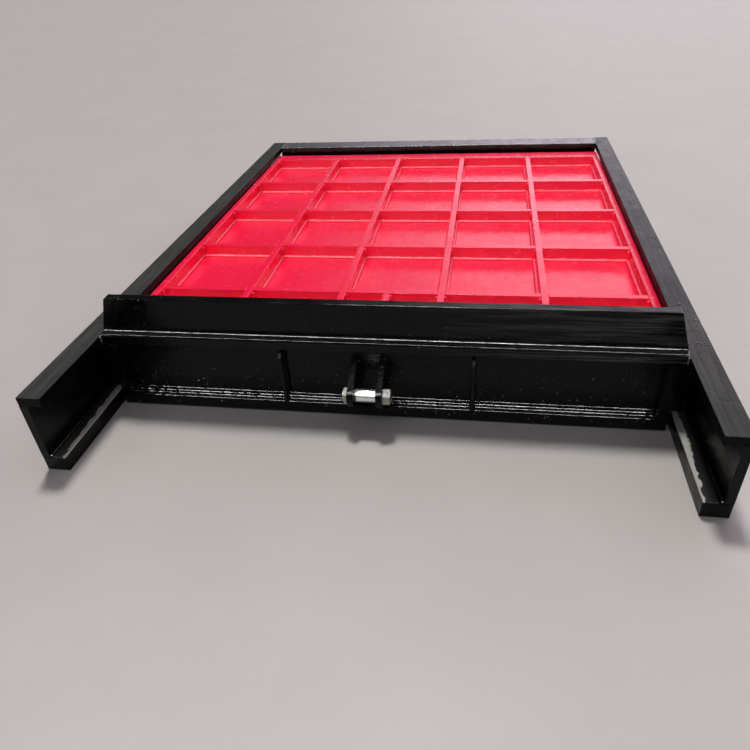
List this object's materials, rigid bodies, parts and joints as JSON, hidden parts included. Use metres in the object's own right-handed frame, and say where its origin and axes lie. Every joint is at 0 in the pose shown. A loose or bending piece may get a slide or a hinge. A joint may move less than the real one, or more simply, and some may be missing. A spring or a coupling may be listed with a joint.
{
  "type": "sluice gate",
  "caption": "Welded steel sluice gate: a ribbed leaf with a lifting lug slides in the deep slots of a frame of two guides, a head and a sill.",
  "frame": {"origin": "centre of the plane of the frame's back face, on which it lies; the gate lies on its back as in the picture", "axes": "+Z out of the frame's back face towards the ribbed face, +Y along the guides towards the sill (down when installed), +X across the gate; the leaf lifts towards -Y. To stand it in place, turn it 90 degrees about X so that -Y points up."},
  "size_m": [2.28, 3.04, 0.46],
  "materials": {
    "black_paint": "gloss",
    "red_paint": "gloss",
    "bare_steel": "satin",
    "zinc_plate": "satin",
    "seal_rubber": "matte"
  },
  "bodies": {
    "frame": {"left_guide_web": "black_paint", "left_guide_flange": "black_paint", "left_guide_bar": "black_paint", "left_track": "bare_steel", "right_guide_web": "black_paint", "right_guide_flange": "black_paint", "right_guide_bar": "black_paint", "right_track": "bare_steel", "sill_web": "black_paint", "sill_front_bar": "black_paint", "sill_back_bar": "black_paint", "head_bar": "black_paint", "head_upright": "black_paint"},
    "leaf": {"skin_plate": "red_paint", "left_side_rib": "red_paint", "right_side_rib": "red_paint", "long_rib_1": "red_paint", "long_rib_2": "red_paint", "long_rib_3": "red_paint", "long_rib_4": "red_paint", "cross_rib_1": "red_paint", "cross_rib_2": "red_paint", "cross_rib_3": "red_paint", "cross_rib_4": "red_paint", "cross_rib_5": "red_paint", "lug_rib": "red_paint", "bottom_edge_plate": "red_paint", "cross_beam_1": "red_paint", "cross_beam_2": "red_paint", "cross_beam_3": "red_paint", "cross_beam_4": "red_paint", "left_stile": "red_paint", "right_stile": "red_paint", "bottom_seal": "seal_rubber", "top_edge_plate": "black_paint", "top_lip": "black_paint", "left_slide": "black_paint", "right_slide": "black_paint", "left_corner_post": "black_paint", "right_corner_post": "black_paint", "left_gusset": "black_paint", "right_gusset": "black_paint", "lug_ear_left": "black_paint", "lug_ear_right": "black_paint", "lug_sleeve": "zinc_plate", "lug_bolt": "zinc_plate", "lug_nut": "zinc_plate"}
  },
  "joints": [
    {"name": "leaf_lift", "type": "slide", "parent": "frame", "child": "leaf", "axis": [0, -1, 0], "range_m": [0, 2]}
  ]
}
